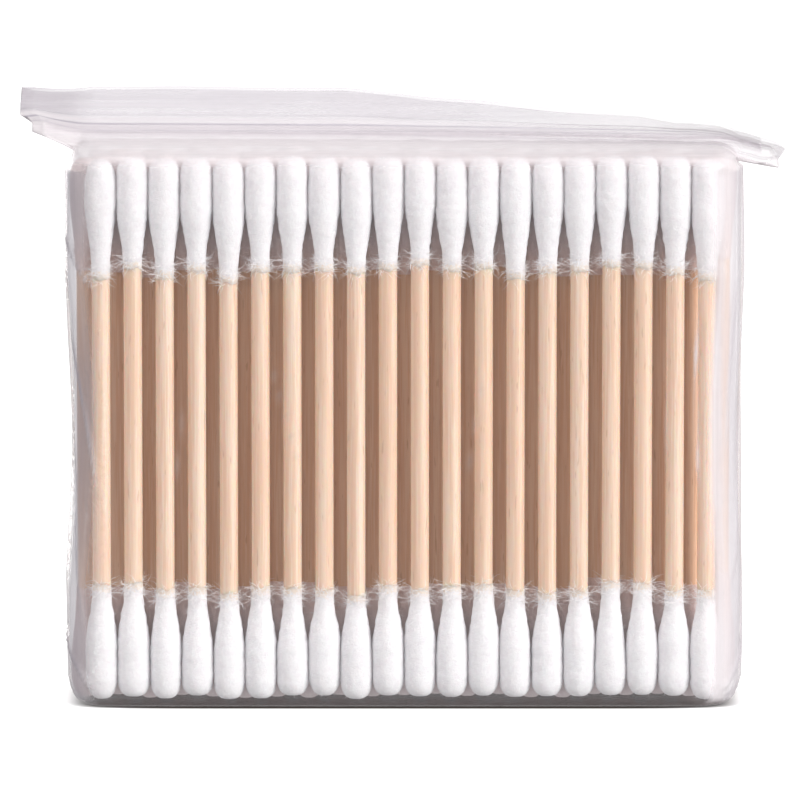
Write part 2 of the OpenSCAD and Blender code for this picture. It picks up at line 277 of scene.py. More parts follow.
def birch_finish(look, name="turned_birch", painted_shade=0.0):
    """Pale turned birch: long grain, a few brown flecks, and a tone of its own for each stick. Its
    last argument, from 0 to 1, darkens and warms the wood with painted shade for the sticks inside
    the pack, and takes away some gloss and its subsurface glow."""
    f = Finish(name)
    place = f.place()
    x, y, _ = f.split(place)
    row = (y / (ROW_STEP * MM) + 0.5).floor()
    column = (x / (PITCH * MM) + row.modulo(2) * 0.5).floor()
    draws = f.node("ShaderNodeTexWhiteNoise", None, {"Vector": f.join(column, row, 0.5)})
    tone = Value(f, draws.outputs["Value"])
    shift = f.stretch(draws.outputs["Color"], (60, 60, 60))

    grain = f.noise(f.stretch(place, (3600, 3600, 90), shift), 1, 4, 0.62, 0.3)
    bands = f.noise(f.stretch(place, (950, 950, 26), shift), 1, 2, 0.5)
    fleck = f.noise(f.stretch(place, (2600, 2600, 330), shift), 1, 1, 0.4)

    pale, deep = tuple(look.pale), tuple(look.deep)
    wood = f.blend(f.ease(grain * 0.6 + bands * 0.4, 0.4, 0.6), deep, pale)
    wood = f.blend(f.ease(tone, 0, 1, 0, look.variation), wood, tuple(look.warm))
    wood = f.blend(f.ease(fleck, 0.68, 0.76, 0, 0.45), wood, tuple(look.fleck))
    # Painted shade: the sticks inside the pack get a darker, warmer tint, as if in shadow
    if painted_shade:
        wood = f.blend(painted_shade, wood, tuple(look.inside), "MULTIPLY")
    inputs = {
        "Base Color": wood,
        "Roughness": f.ease(grain, 0.3, 0.7, 0.56, 0.44),
        "IOR": 1.7 - 0.2 * painted_shade,
        "Specular IOR Level": 1.0 - 0.7 * painted_shade,
        "Subsurface Weight": 0.6 * (1 - painted_shade),
        "Subsurface Radius": (1.0, 0.35, 0.16),
        "Subsurface Scale": 0.002,
        "Normal": f.bump(grain, 0.0001, 0.7),
    }
    return f.finish(f.surface(inputs))


def cotton_finish(look, name="wound_cotton", painted_shade=0.0):
    """Wound cotton: soft lumps, faint turns round the bud and fine fibres. Near the end on the
    stick, where the attribute "thin" rises, the wood tints it. Its last argument, from 0 to 1,
    darkens the colour with painted shade for the cotton inside the pack, browner towards its ends
    on the sticks, and takes away its subsurface glow."""
    f = Finish(name)
    place = f.place()
    thin = f.attribute("thin")
    fibre = f.noise(place, 2600, 6, 0.72, 0.8)
    turns = f.noise(f.stretch(place, (700, 700, 2000)), 1, 5, 0.7, 1.0)
    lumps = f.noise(place, 1300, 4, 0.65)

    soft = lumps * 0.5 + turns * 0.25 + fibre * 0.25
    colour = f.blend(f.ease(soft, 0.36, 0.6), tuple(look.shade), tuple(look.colour))
    worn = f.ease(thin + (fibre - 0.5) * 1.8 + (turns - 0.5), 0.35, 1.0, 0, look.see_through)
    colour = f.blend(worn, colour, tuple(look.over_wood))
    # Painted shade: the cotton inside the pack is darkened, and browner towards its ends on the
    # sticks
    if painted_shade:
        height = f.split(place)[2] * 1000 - SWAB_MIDDLE
        shaded = f.blend(f.ease(height ** 2, 420, 900), tuple(look.painted_shade_ends), tuple(look.inside))
        colour = f.blend(painted_shade, colour, shaded, "MULTIPLY")
    relief = f.bump(turns, 0.0002, look.turns)
    relief = f.bump(fibre, 0.0002, look.fuzz, relief)
    inputs = {
        "Base Color": colour,
        "Roughness": 0.92,
        "Specular IOR Level": 0.12,
        "Subsurface Weight": 0.8 * (1 - painted_shade),
        "Subsurface Radius": (1.0, 0.93, 0.93),
        "Subsurface Scale": 0.0022,
        "Sheen Weight": 0.25,
        "Sheen Roughness": 0.6,
        "Normal": relief,
    }
    return f.finish(f.surface(inputs))


def lint_finish(look):
    """Single white fibres."""
    f = Finish("lint")
    return f.finish(f.surface({
        "Base Color": (*look.white, 1), "Roughness": 0.9, "Specular IOR Level": 0.1,
    }))


def clear_film(f, haze, look, relief, colour):
    """Clear film: light goes through, the surface mirrors some of it, and haze scatters some."""
    facing = Value(f, f.node("ShaderNodeLayerWeight", None, {0: 0.5}).outputs["Facing"])
    mirror = f.surface({
        "Base Color": (1, 1, 1, 1), "Metallic": 1.0, "Roughness": look.gloss, "Normal": relief,
    })
    milky = f.surface({
        "Base Color": colour, "Roughness": 0.6, "Specular IOR Level": 0.2, "Normal": relief,
    })
    through = f.node("ShaderNodeBsdfTransparent", None, {0: (0.99, 0.985, 0.99, 1)}).outputs[0]
    sheet = f.mix(facing ** 5 * look.edge_gloss + look.face_gloss, through, mirror)
    return f.finish(f.mix(haze, sheet, milky))


def film_finish(look):
    """The bag's film. The attribute "haze" says how milky it is at each place, "drawn" where the
    film shows the lines it was drawn with, and the third one where the haze takes the darker line
    colour: along the seal's lines, over the lip, down the side corners, and as a painted shade
    round the front's left corner."""
    f = Finish("clear_film")
    place = f.place()
    drawn = f.attribute("drawn")
    lines = f.noise(f.stretch(place, (14, 300, 1500)), 1, 3, 0.6)
    hanging = f.noise(f.stretch(place, (420, 420, 16)), 1, 3, 0.6)
    cloud = f.noise(place, 70, 3, 0.55)
    crinkle = f.noise(place, 420, 2, 0.5, 1.2)
    streaks = lines * drawn + hanging * (1 - drawn)
    haze = f.attribute("haze") * (streaks * 0.9 + cloud * 0.4 + 0.35)
    # Darker line colour along the seal's lines, over the lip and down the side corners, and painted
    # shade at the front's left corner
    colour = f.blend(f.attribute("seam"), tuple(look.tint), tuple(look.line))
    relief = f.bump(crinkle * (1 - drawn * 0.85), 0.00035, look.crinkle)
    return clear_film(f, haze, look, relief, colour)


def tape_finish(look):
    """The seal's moulded tapes: the same plastic, thicker, with drawn lines along it."""
    f = Finish("clear_tape")
    lines = f.noise(f.stretch(f.place(), (60, 3000, 3000)), 1, 2, 0.5)
    relief = f.bump(lines, 0.0001, 0.4)
    haze = f.ease(lines, 0.3, 0.7, look.tape_haze * 0.6, look.tape_haze * 1.4)
    return clear_film(f, haze, look, relief, (*look.tint, 1))


def floor_finish(look):
    """Matt white paper. It glows a little, apart from where the pack stands: there its dark colour,
    with no glow, is a painted contact shadow.
    """
    f = Finish("floor_paper")
    place = f.place()
    x, y, _ = f.split(place)
    # Painted contact shadow: under the pack's footprint the paper is nearly black and gives off no
    # light
    far = f.ease((x / 0.045) ** 8 + (y / 0.0105) ** 8, 0.6, 1.5)
    colour = f.blend(far, tuple(look.painted_contact_shadow), tuple(look.floor))
    return f.finish(f.surface({
        "Base Color": f.blend(f.noise(place, 9, 2) * 0.02, colour, (1.0, 1.0, 1.0)),
        "Roughness": 0.9,
        "Specular IOR Level": 0.1,
        "Emission Color": f.blend(far, (0.0, 0.0, 0.0), (look.glow,) * 3),
        "Emission Strength": 1.0,
    }))


# Shape of the film bag, in millimetres


def ease(t):
    """Smooth step from 0 at 0 to 1 at 1."""
    t = np.clip(t, 0, 1)
    return t * t * (3 - 2 * t)


def rise(x, start, run):
    """Smooth step from 0 at the start to 1 after the run."""
    return ease((x - start) / run)


def mix(a, b, t):
    return a + (b - a) * t


def bag_section(share, panel, half_w, half_d, r):
    """Rounded section of the filled bag at a share across its panel, as x and y."""
    straight, arc = half_d - r, math.pi / 2 * r
    half = straight + arc + half_w - r
    left = share > 0.5
    d = 2 * half * np.where(left, 1 - share, share)
    turn = np.clip((d - straight) / arc, 0, 1) * math.pi / 2
    x = np.where(d < straight, half_w, half_w - r + r * np.cos(turn))
    x = np.where(d < straight + arc, x, half - d)
    y = np.where(d < straight, d, half_d - r + r * np.sin(turn))
    return np.where(left, -x, x), panel * np.minimum(y, half_d)


class Bag:
    """The film bag over one grid of columns: each row of points goes once round the bag."""

    def __init__(self, columns, crowding):
        u = np.linspace(0, 1, columns + 1)
        t = np.where(u <= 0.5, 2 * u, 2 - 2 * u)
        self.share = t - crowding * np.sin(2 * math.pi * t) / (2 * math.pi)
        self.panel = np.where(u <= 0.5, 1.0, -1.0)
        self.flat_x = FLAT_HALF_W * (1 - 2 * self.share)
        self.from_weld = np.minimum(self.share, 1 - self.share) * 2 * FLAT_HALF_W
        self.weld = np.clip(1 - self.from_weld / SIDE_WELD, 0, 1)
        _, y = bag_section(self.share, self.panel, BODY_HALF_W, BODY_HALF_D, CORNER_R)
        self.ear = 1 - rise(abs(y), EAR_CORE, BODY_HALF_D - EAR_CORE)

    def waist(self, z):
        low, high = LOWEST_TIP + BUD_LENGTH, HIGHEST_TIP - BUD_LENGTH
        return WAIST * math.sin(math.pi * min(1, max(0, (z - low) / (high - low))))

    def wall(self, z, inset=0.0, side_inset=0.0):
        """Row of the walls at a height."""
        w = self.waist(z)
        half_w = BODY_HALF_W - inset - side_inset - w
        x, y = bag_section(
            self.share, self.panel, half_w, BODY_HALF_D - inset - w, CORNER_R - inset)
        x = x + np.sign(x) * WELD_BEAD * self.weld + WAIST_SKEW * w
        return np.stack([x, y, np.full_like(x, z)], 1)

    def foot(self, z):
        """Row of the rounded edge at the walls' foot."""
        heights, insets, sides = zip(*FOOT)
        return self.wall(z, np.interp(z, heights, insets), np.interp(z, heights, sides))

    def floor_panel(self, t):
        """Row of the bottom film: t is 0 at its middle line and 1 at the foot."""
        row = self.foot(0)
        return row * np.array([1, t, 1])

    def flap(self, v, bend, gap):
        """Row of the flap at height v up it."""
        s = self.flat_x / FLAT_HALF_W
        course = np.array(LEAN_COURSE)
        lean = mix(LEAN_LEFT, LEAN_RIGHT, np.interp(s, course[:, 0], course[:, 1]))
        a = np.radians(lean) * bend
        left = np.maximum(0, (-s - RISE_FROM) / (1 - RISE_FROM))
        right = np.maximum(0, (s - DROOP_FROM) / (1 - DROOP_FROM))
        rise = LEFT_RISE * left**2 - FLAP_FALL * ((s + 1) / 2) ** 2 - RIGHT_DROOP * right**1.8
        rise = rise + np.interp(s, *zip(*RIGHT_SAG))
        u = self.panel * (gap / 2 + FILM_T) * np.minimum(1, self.from_weld / SIDE_WELD)
        y = FOLD_R * (1 - np.cos(a)) + v * np.sin(a) + u * np.cos(a)
        z = FOLD_R * np.sin(a) + v * np.cos(a) - u * np.sin(a)
        y0 = -FLAP_FORWARD - FLAP_BOW * np.cos(math.pi / 2 * s)
        return np.stack([self.flat_x * (1 - END_LOSS * s * s), y0 + y, NECK_Z + rise + z], 1)

    def cap(self, t):
        """Row of the film that closes from the shoulder (0) to the neck (1)."""
        start, end = self.wall(SHOULDER_Z), self.flap(0, 0, SEAL_T)
        e = self.ear[:, None]
        side = np.sign(start[:, 0])
        top = np.full_like(side, SHOULDER_Z + GABLE_RISE)
        gable = np.stack([side * (BODY_HALF_W - GABLE_IN), end[:, 1], top], 1)
        over = np.stack([
            end[:, 0], mix(end[:, 1], start[:, 1], NECK_REACH), end[:, 2] - NECK_PULL], 1)
        a = mix(start + np.array([0, 0, SHOULDER_PULL]), gable, e)
        b = mix(over, gable, e)
        m = 1 - t
        return m**3 * start + 3 * t * m * m * a + 3 * t * t * m * b + t**3 * end


def waves(x, z, seed, length, slant, count=6):
    """Smooth seeded undulation from -1 to 1 with wavelengths about the given length."""
    rng = np.random.default_rng(seed)
    total = 0
    for _ in range(count):
        angle = rng.uniform(-1, 1) * slant
        k = 2 * math.pi / (length * rng.uniform(0.6, 1.7))
        along = x * math.cos(angle) + z * math.sin(angle)
        total = total + np.sin(k * along + rng.uniform(0, 2 * math.pi))
    return total / count * 1.4


def crease(x, z, line):
    """Height of one crease of the film: a narrow ridge along a straight line that fades out at
    its ends. The line gives its two ends, the ridge's half width and its height."""
    x0, z0, x1, z1, half_width, height = line
    run = np.array([x1 - x0, z1 - z0])
    length = np.hypot(*run)
    t = ((x - x0) * run[0] + (z - z0) * run[1]) / length**2
    away = abs((x - x0) * run[1] - (z - z0) * run[0]) / length
    fade = ease(t / 0.25) * ease((1 - t) / 0.25)
    return height * fade * np.maximum(0, 1 - away / half_width) ** 1.5


# Lines that the press seal shows through the film: height up the flap, half width and strength
SEAL_LINES = ((0.9, 0.2, 0.7), (1.5, 0.16, 0.35), (2.35, 0.24, 1.3), (3.9, 0.2, 0.4))

# Creases of the front and of the back panel: x and z of both ends, half width and height
FRONT_CREASES = (
    (-50.5, 66.5, -42.0, 57.5, 0.55, 0.34),
    (-49.0, 56.0, -42.6, 27.0, 0.5, 0.3),
    (-47.5, 30.0, -44.0, 8.5, 0.5, 0.26),
    (-52.0, 12.0, -42.0, 1.2, 0.6, 0.4),
    (40.2, 59.5, 41.1, 28.0, 0.42, 0.34),
    (36.1, 50.5, 36.9, 31.0, 0.35, 0.14),
    (46.8, 62.0, 45.2, 34.0, 0.5, 0.28),
    (51.0, 47.0, 46.5, 16.0, 0.5, 0.26),
    (52.0, 10.0, 43.0, 1.2, 0.6, 0.36),
    (-20.0, 52.0, -14.0, 30.0, 0.35, 0.1),
    (11.5, 50.0, 8.0, 28.0, 0.35, 0.1),
    (-31.0, 44.0, -33.0, 24.0, 0.35, 0.1),
)
BACK_CREASES = (
    (-49.0, 64.0, -38.0, 50.0, 0.6, 0.3),
    (-50.5, 40.0, -44.0, 14.0, 0.55, 0.3),
    (47.5, 58.0, 42.0, 30.0, 0.55, 0.3),
    (50.0, 22.0, 41.0, 4.0, 0.6, 0.3),
    (-26.0, 60.0, -10.0, 32.0, 0.5, 0.16),
    (24.0, 55.0, 12.0, 22.0, 0.5, 0.16),
    (2.0, 48.0, 6.0, 20.0, 0.4, 0.12),
)


def pull_taut(points, zones, bag):
    """Lays the front film straight from its shoulder up to the seal, between the ears."""
    rows = [n for n, (zone, t) in enumerate(zones)
            if zone == "cap" and t > 0.3 or zone == "fold" or zone == "seal" and t < 0.8]
    first, last = points[rows[0] - 1], points[rows[-1] + 1]
    flat = np.where(bag.panel < 0, 1 - ease(bag.ear / 0.35), 0)[:, None]
    for step, n in enumerate(rows, 1):
        chord = mix(first, last, step / (len(rows) + 1))
        points[n] = mix(points[n], chord, flat)


def draw_in_ears(points, zones, bag, pinch):
    """Draws the flap's ends in where the ears turn into it, under the seal's line, and cuts the
    right end at a slant."""
    share = {
        "cap": lambda t: rise(t, 0.2, 0.8),
        "fold": lambda t: 1.0,
        "seal": lambda v: np.interp(v, (0, 2.2, 2.9), (1, 0.55, 0)),
        "lip": lambda v: 0.0,
    }
    left = rise(-bag.flat_x, EAR_LEFT, FLAT_HALF_W - EAR_LEFT) ** 1.4
    right = rise(bag.flat_x, EAR_RIGHT, FLAT_HALF_W - EAR_RIGHT)
    for n, (zone, t) in enumerate(zones):
        if zone in share:
            up = t / 11.5 if zone in ("seal", "lip") else 0
            loose = ease(t / 0.6) if zone == "cap" else 1
            points[n, :, 0] += (pinch * share[zone](t) + 0.5 * loose) * left
            points[n, :, 0] -= mix(*RIGHT_SLANT, up) * loose * right


def film_rows(look, bag):
    """Rows of points from the middle of the bottom up, and the zone and the place in it of each.
    A place is a share of the zone, or a height up the walls or the flap in millimetres."""
    rows, zones = [], []
    seal_top, lip_top = TAPE_H + LIP_START, TAPE_H + LIP_H + look.lip_more

    def add(zone, values, make):
        for t in values:
            rows.append(make(t))
            zones.append((zone, t))

    def lip_row(v):
        return bag.flap(v, 1, mix(SEAL_T, LIP_GAP, rise(v, seal_top, LIP_CLOSE)))

    add("bottom", np.linspace(0, 1, 10)[:-1], bag.floor_panel)
    add("wall", [0, 0.12, 0.3, 0.55, 0.85, 1.3, 1.9, 2.5], bag.foot)
    add("wall", np.arange(3, 8, 0.6), bag.foot)
    add("wall", np.linspace(8, SHOULDER_Z, look.wall_rows), bag.wall)
    add("cap", np.linspace(0, 1, 26)[1:], bag.cap)
    add("fold", np.linspace(0, 1, 8)[1:], lambda t: bag.flap(0, t, SEAL_T))
    add("seal", np.linspace(0, seal_top, 36)[1:], lambda v: bag.flap(v, 1, SEAL_T))
    add("lip", np.linspace(seal_top, lip_top, 24)[1:], lip_row)
    return np.array(rows), zones


def washed(bag):
    """How milky the front film is down its right corner."""
    strip = rise(bag.flat_x, MILKY_RIGHT, 1.5)
    fading = 1.25 - 0.25 * rise(bag.flat_x, MILKY_RIGHT + 2, 2)
    fading = fading - 0.7 * rise(bag.flat_x, MILKY_RIGHT + 6, 5)
    return np.where(bag.panel < 0, strip * fading, 0)


def bottom_marks(look, bag, row, t):
    """Offset, haze, seam and drawn lines of a row of the bottom film."""
    return -0.05 * abs(waves(row[:, 0], row[:, 1], 8, 5, 1.5)) * t, 0, 0, 0


def wall_marks(look, bag, row, z):
    """The same four of a row of the walls: soft valleys between the tips, ripples and creases."""
    flat, front = bag.flat_x, bag.panel < 0
    corner = rise(abs(flat), CORNER_FROM, 8)
    heads = sum(ease((VALLEY_REACH - abs(z - at)) / 3) for at in BUD_MIDDLES)
    valley = (1 - np.cos(2 * math.pi * (row[:, 0] / PITCH - 0.5))) / 2
    d = -0.2 * valley * heads * (1 - corner)
    d += look.ripple * waves(flat, z, 3, 9, 0.35) * (0.5 + corner)
    d += look.ripple * waves(flat, z, 5, 26, 1.2)
    ridges = [sum(crease(flat, z, line) for line in lines)
              for lines in (FRONT_CREASES, BACK_CREASES)]
    ridges = np.where(front, *ridges)
    d = np.clip(d, -0.26, 0.3) * ease(z / 3) + ridges * look.crease
    # Haze along the creases: partly creased film turning milky, partly a painted highlight of the
    # bright lines they show
    h = look.haze_wall * (1 + 2.2 * corner) + 1.3 * ridges
    h += look.haze_top * rise(z, 67, 7)
    h += 4 * np.maximum(0, ridges - 0.22)
    h += look.haze_right * washed(bag)
    edge = rise(-flat, MILKY_LEFT, 2) * (1 - rise(-flat, MILKY_LEFT + 4.5, 2)) * front
    h = (h + look.haze_left * edge) * ease(z - 0.2)
    # Darker line colour down both side corners, and painted shade in the band round the front's
    # left corner
    seam = 0.4 * rise(abs(flat), 44.5, 2) + 0.5 * edge
    return d, h + look.haze_weld * bag.weld, seam, 0


def cap_marks(look, bag, row, t):
    """The same four of a row between the shoulder and the neck, with its gathers."""
    window = math.sin(math.pi * t) ** 0.7
    d = look.gather * window * (0.5 + 0.5 * waves(bag.flat_x, t * 6, 9, 6, 0.5, 8))
    wall = look.haze_wall * 2 + look.haze_top + look.haze_right * washed(bag)
    h = mix(wall, look.haze_cap * (1 - 0.35 * bag.ear), rise(t, 0.03, 0.3))
    return d, h + look.haze_weld * bag.weld, 0, rise(t, 0.1, 0.4)


def flap_marks(look, bag, zone, t):
    """The same four of a row of the flap, with the lines of the seal."""
    flat, v = bag.flat_x, t - 1 if zone == "fold" else t
    sway = waves(flat, v, 12, 34, 0.25) * max(0, v) / 11
    fine = waves(flat, v * 3, 14, 11, 0.9) * max(0, v - 1) / 11
    d = -bag.panel * (0.2 * sway + 0.02 * fine)
    under_seal = look.haze_cap * (1 - 0.35 * bag.ear)
    h = mix(under_seal, look.haze_flap, t if zone == "fold" else 1)
    h = h * (1 - 0.45 * rise(flat, -10, 45))
    h += 0.5 * look.haze_weld * bag.weld + 0.25 * rise(-flat, MILKY_LEFT, 6)
    seam = sum(
        strength * math.exp(-(((v - line) / width) ** 2)) for line, width, strength in SEAL_LINES)
    h = h + 0.22 * seam
    if zone == "lip":
        seam = seam + 0.6 * (1 - 0.6 * rise(flat, 10, 30))
    if v > TAPE_H + LIP_H + look.lip_more - 0.3:
        h = h + 0.15
    return d, h, seam, 1


def film_grid(look):
    """Points and haze of the whole film as rows of columns, from the middle of the bottom up."""
    bag = Bag(look.columns, crowding=0.6)
    points, zones = film_rows(look, bag)
    pull_taut(points, zones, bag)
    draw_in_ears(points, zones, bag, look.pinch)

    across = np.gradient(points, axis=1)
    across[:, 0] = across[:, -1] = points[:, 1] - points[:, -2]
    normal = np.cross(across, np.gradient(points, axis=0))
    normal /= np.maximum(np.linalg.norm(normal, axis=2, keepdims=True), 1e-9)

    offset, haze, seam, drawn = (np.zeros(points.shape[:2]) for _ in range(4))
    marks_of = {"bottom": bottom_marks, "wall": wall_marks, "cap": cap_marks}
    for n, (zone, t) in enumerate(zones):
        if zone in marks_of:
            marks = marks_of[zone](look, bag, points[n], t)
        else:
            marks = flap_marks(look, bag, zone, t)
        offset[n], haze[n], seam[n], drawn[n] = marks
    layers = {"haze": np.clip(haze, 0, 0.95), "seam": np.clip(seam, 0, 1), "drawn": drawn}
    return points + normal * offset[:, :, None], layers


# Pieces


def mesh_from(name, bm):
    """Makes a mesh from a bmesh, which it frees."""
    mesh = bpy.data.meshes.new(name)
    bm.to_mesh(mesh)
    bm.free()
    return mesh


def new_piece(name, bm, material):
    """Makes a piece from a bmesh, shades it smooth and lets it ride on the one body."""
    mesh = mesh_from(name, bm)
    mesh.materials.append(material)
    for polygon in mesh.polygons:
        polygon.use_smooth = True
    piece = bpy.data.objects.new(name, mesh)
    bpy.context.scene.collection.objects.link(piece)
    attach(piece, "root")
    return piece


def material_named(name, make, look):
    """The material of that name, made the first time."""
    return bpy.data.materials.get(name) or make(look)


def repaint(node, material):
    """Gives a CAD node a better material."""
    shown = frame["nodes"][node]
    for place in range(len(shown.material_slots)):
        shown.material_slots[place].material = material


def numbers(items, key, width=3):
    """What the items of a mesh say for a key: rows of that width, or a list for width 1."""
    flat = np.zeros(len(items) * width)
    items.foreach_get(key, flat)
    return flat.reshape(-1, width) if width > 1 else flat


def points_of(node):
    """Points of a CAD node, in millimetres."""
    return numbers(frame["nodes"][node].data.vertices, "co") / MM


def places_of(points):
    """Where the two buds of a swab are, from its points: x, y, height of the tip and height of
    the cotton's end on the stick."""
    places = []
    for low in (True, False):
        half = points[(points[:, 2] < SWAB_MIDDLE) == low]
        bottom, top = half[:, 2].min(), half[:, 2].max()
        x, y = (half[:, :2].max(0) + half[:, :2].min(0)) / 2
        places.append((x, y, bottom, top) if low else (x, y, top, bottom))
    return places


def corner_order(face):
    """Number that sorts faces by their corners, because a spin leaves them in no fixed order."""
    order = 0
    for index in sorted(v.index for v in face.verts):
        order = order * 10000 + index
    return order


def bud_grid(look):
    """A closed tube of rows from a tip to a pole inside the stick, as a mesh to bend into buds."""
    bm = bmesh.new()
    rows = look.bud_rows
    line = [bm.verts.new((0 if n in (0, rows) else 1, 0, n)) for n in range(rows + 1)]
    edges = [bm.edges.new(pair) for pair in zip(line, line[1:])]
    bmesh.ops.spin(
        bm, geom=line + edges, cent=(0, 0, 0), axis=(0, 0, 1), dvec=(0, 0, 0),
        angle=2 * math.pi, steps=look.bud_sides, use_merge=True, use_duplicate=False)
    bmesh.ops.remove_doubles(bm, verts=bm.verts[:], dist=0.0001)
    bmesh.ops.recalc_face_normals(bm, faces=bm.faces[:])
    bm.verts.index_update()
    bm.faces.sort(key=corner_order)
    return mesh_from("bud_grid", bm)


def bud_points(place, rng, look, row, angle):
    """Points of one bud and how thin its cotton is there, for rows and angles of the grid."""
    x, y, tip, end = place
    tip, end = tip + look.lift, end + rng.uniform(-0.7, 0.7)
    length, up = abs(end - tip), 1 if end > tip else -1
    rows = look.bud_rows
    # A round tip, a belly and a neck that narrows to the stick
    t = np.minimum(row / (rows - 1), 1) ** 1.2
    h = length * t
    belly, tip_run = rng.uniform(5.0, 7.4), rng.uniform(3.4, 4.2)
    power, full = rng.uniform(2.4, 3.0), BUD_R * rng.uniform(1.065, 1.1)
    dome = full * (1 - np.clip(1 - h / tip_run, 0, 1) ** power) ** (1 / power)
    k = np.clip((h - belly) / (length - belly), 0, 1)
    neck = STICK_R + look.neck_wall
    r = np.where(h < belly, dome, mix(full, neck, ease(k / rng.uniform(0.82, 0.96))))
    r = np.where(t > 0.94, mix(r, STICK_R + 0.03, ease((t - 0.94) / 0.06)), r)

    # Dents, turns of the winding, small tufts and the ragged end
    phase = rng.uniform(0, 2 * math.pi, 8)
    dents = 1 + 0.5 * np.sin(2 * angle + phase[0] + h * 0.5)
    dents += 0.5 * np.sin(3 * angle + phase[1] - h * 0.8)
    winding = np.sin(h * 5.2 + angle + phase[2]) + np.sin(h * 8.3 - 2 * angle + phase[3])
    r = r - look.relief * np.minimum(1, h / 2) * (dents * 0.5 + 0.1 * (winding + 2)) * (1 - 0.7 * t)
    tuft = 0
    for _ in range(14):
        k = rng.normal(size=3) * (1, 1, 1.3)
        k *= 2 * math.pi / (rng.uniform(0.9, 2.2) * np.linalg.norm(k))
        wave = k[0] * r * np.cos(angle) + k[1] * r * np.sin(angle) + k[2] * h
        tuft = tuft + np.sin(wave + rng.uniform(0, 2 * math.pi))
    r = r + look.tufts * np.minimum(1, h / 2) * (tuft / 3.7 - 1) / 2
    ragged = np.sin(3 * angle + phase[4]) + 0.6 * np.sin(5 * angle + phase[5])
    h = h + look.ragged * ragged * ease((t - 0.9) / 0.1)
    # The last rows close inside the stick
    r = np.where(t > 0.3, np.maximum(r, STICK_R + 0.03), r)
    r = np.where(row == rows, 0, np.where(row == rows - 1, STICK_R * 0.96, r))
    r = np.where(row == 0, 0, r)
    sway = rng.uniform(-0.08, 0.08, 2)
    bend = np.sin(math.pi * t)
    points = np.stack([
        x + r * np.cos(angle) + sway[0] * bend,
        y + r * np.sin(angle) * up + sway[1] * bend,
        tip + up * h], 1)
    return points, ease((t - 0.84) / 0.15)


def make_cotton(name, places, material, look, seed, replaced):
    """One piece of fine buds for the given places, standing for its CAD nodes."""
    rng = np.random.default_rng(seed)
    grid = bud_grid(look)
    count, local = len(grid.vertices), numbers(grid.vertices, "co")
    row, angle = np.round(local[:, 2]), np.arctan2(local[:, 1], local[:, 0])
    bm = bmesh.new()
    thin = bm.verts.layers.float.new("thin")
    for n, place in enumerate(places):
        bm.from_mesh(grid)
        bm.verts.ensure_lookup_table()
        points, thinness = bud_points(place, rng, look, row, angle)
        for k in range(count):
            v = bm.verts[n * count + k]
            v.co = Vector(points[k]) * MM
            v[thin] = thinness[k]
    bpy.data.meshes.remove(grid)
    piece = new_piece(name, bm, material)
    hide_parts(*replaced)
    return piece


def make_film(look):
    """The film: a flat grid whose rows are laid round the bag, joined at the weld and along the
    middle of the bottom."""
    points, marks = film_grid(look)
    rows, columns = marks["haze"].shape
    bm = bmesh.new()
    layers = {name: bm.verts.layers.float.new(name) for name in marks}
    bmesh.ops.create_grid(bm, x_segments=columns - 1, y_segments=rows - 1, size=1)
    for v in bm.verts:
        column = round((v.co.x + 1) / 2 * (columns - 1))
        row = round((v.co.y + 1) / 2 * (rows - 1))
        v.co = Vector(points[row, column]) * MM
        for name, layer in layers.items():
            v[layer] = marks[name][row, column]
    bmesh.ops.remove_doubles(bm, verts=bm.verts[:], dist=0.000002)
    return bm


def surface_of(pieces):
    """Points, normals and thinness of the given cotton pieces, in millimetres."""
    meshes = [piece.data for piece in pieces]
    points = np.concatenate([numbers(mesh.vertices, "co") for mesh in meshes])
    normals = np.concatenate([numbers(mesh.vertices, "normal") for mesh in meshes])
    thin = [numbers(mesh.attributes["thin"].data, "value", 1) for mesh in meshes]
    return points / MM, normals, np.concatenate(thin)


def make_strands(name, surface, count, length, thickness, near_ends, material, seed):
    """Loose fibres that stand off the cotton: thin bent strands, rooted in its surface."""
    rng = np.random.default_rng(seed)
    points, normals, thin = surface
    weight = 1.0 * (thin > 0.1 if near_ends else thin < 0.5)
    weight = weight * (np.hypot(normals[:, 0], normals[:, 1]) > 0.4)
    curve = bpy.data.curves.new(name, "CURVE")
    curve.dimensions = "3D"
    curve.bevel_depth = thickness * MM
    curve.bevel_resolution = 0
    steps = 4
    limit = BODY_HALF_D - 0.2
    for root in rng.choice(len(points), count, p=weight / weight.sum()):
        spline = curve.splines.new("POLY")
        spline.points.add(steps)
        at = points[root] - normals[root] * 0.05
        way = normals[root] + rng.normal(size=3) * (1.0, 0.6, 0.8)
        bend = rng.normal(size=3) * 1.8
        step = length * rng.uniform(0.4, 1.3) / steps
        for n in range(steps + 1):
            spline.points[n].co = (*(at * MM), 1)
            spline.points[n].radius = 1 - 0.75 * n / steps
            way = way / np.linalg.norm(way) + bend / steps
            at = at + step * way / np.linalg.norm(way)
            at[1] = min(max(at[1], -limit), limit)
    strands = bpy.data.objects.new(name + "_curve", curve)
    bpy.context.scene.collection.objects.link(strands)
    bpy.context.view_layer.update()
    mesh = bpy.data.meshes.new_from_object(strands.evaluated_get(
        bpy.context.evaluated_depsgraph_get()))
    bm = bmesh.new()
    bm.from_mesh(mesh)
    bpy.data.objects.remove(strands)
    bpy.data.meshes.remove(mesh)
    return new_piece(name, bm, material)


# Sizes and colours that a user would change


def number(name, description, default, kind=FloatProperty, **more):
    return kind(name=name, description=description, default=default, **more)


def swatch(name, description, default):
    return number(name, description, default, FloatVectorProperty,
                  subtype="COLOR", size=3, min=0, max=1)


